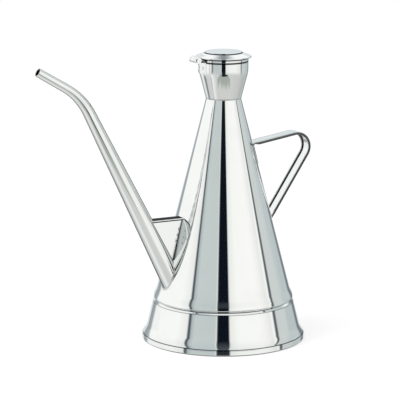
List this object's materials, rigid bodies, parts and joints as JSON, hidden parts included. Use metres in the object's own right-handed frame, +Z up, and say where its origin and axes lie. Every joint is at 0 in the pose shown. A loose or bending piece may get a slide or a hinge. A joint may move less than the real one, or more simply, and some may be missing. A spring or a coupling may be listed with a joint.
{
  "type": "olive oil pouring can",
  "caption": "Conical stainless steel oil can with a flared base band, hinged lid on a filling cup, long bent spout with brace, and strap handle.",
  "frame": {"origin": "centre of the ring that the can stands on, in the plane of the table", "axes": "+Z up along the axis of the cone, the spout points along -X and the handle along +X"},
  "size_m": [0.1995, 0.11, 0.1958],
  "materials": {
    "mirror_sheet": "mirror polished stainless steel sheet",
    "mirror_tube": "mirror polished stainless steel tube",
    "mirror_strap": "polished stainless steel strap with rolled edges",
    "satin_sheet": "unpolished stainless steel sheet",
    "hinge_steel": "bright stainless steel, lightly brushed",
    "weld_metal": "cleaned weld metal, satin"
  },
  "bodies": {
    "can": {"cone_shell": "mirror_sheet", "base_band": "mirror_sheet", "bottom_disc": "satin_sheet", "rim_seal_ring": "weld_metal", "cone_joint_solder": "weld_metal", "filling_cup": "mirror_sheet", "cup_rim_ring": "mirror_sheet", "neck_weld": "weld_metal", "spout_tube": "mirror_tube", "spout_root_weld": "weld_metal", "spout_brace": "mirror_sheet", "brace_spot_welds": "weld_metal", "handle_strap": "mirror_strap", "handle_upper_weld": "weld_metal", "handle_lower_weld": "weld_metal", "hinge_bracket": "hinge_steel", "hinge_bracket_welds": "weld_metal", "hinge_pin": "hinge_steel"},
    "lid": {"lid_cover": "mirror_sheet", "lid_plug_ring": "satin_sheet", "lid_hinge_leaf": "hinge_steel", "lid_leaf_welds": "weld_metal"}
  },
  "joints": [
    {"name": "lid_hinge", "type": "hinge", "parent": "can", "child": "lid", "pos_m": [-0.0212, 0, 0.19145], "axis": [0, -1, 0], "range_deg": [0, 110]}
  ]
}
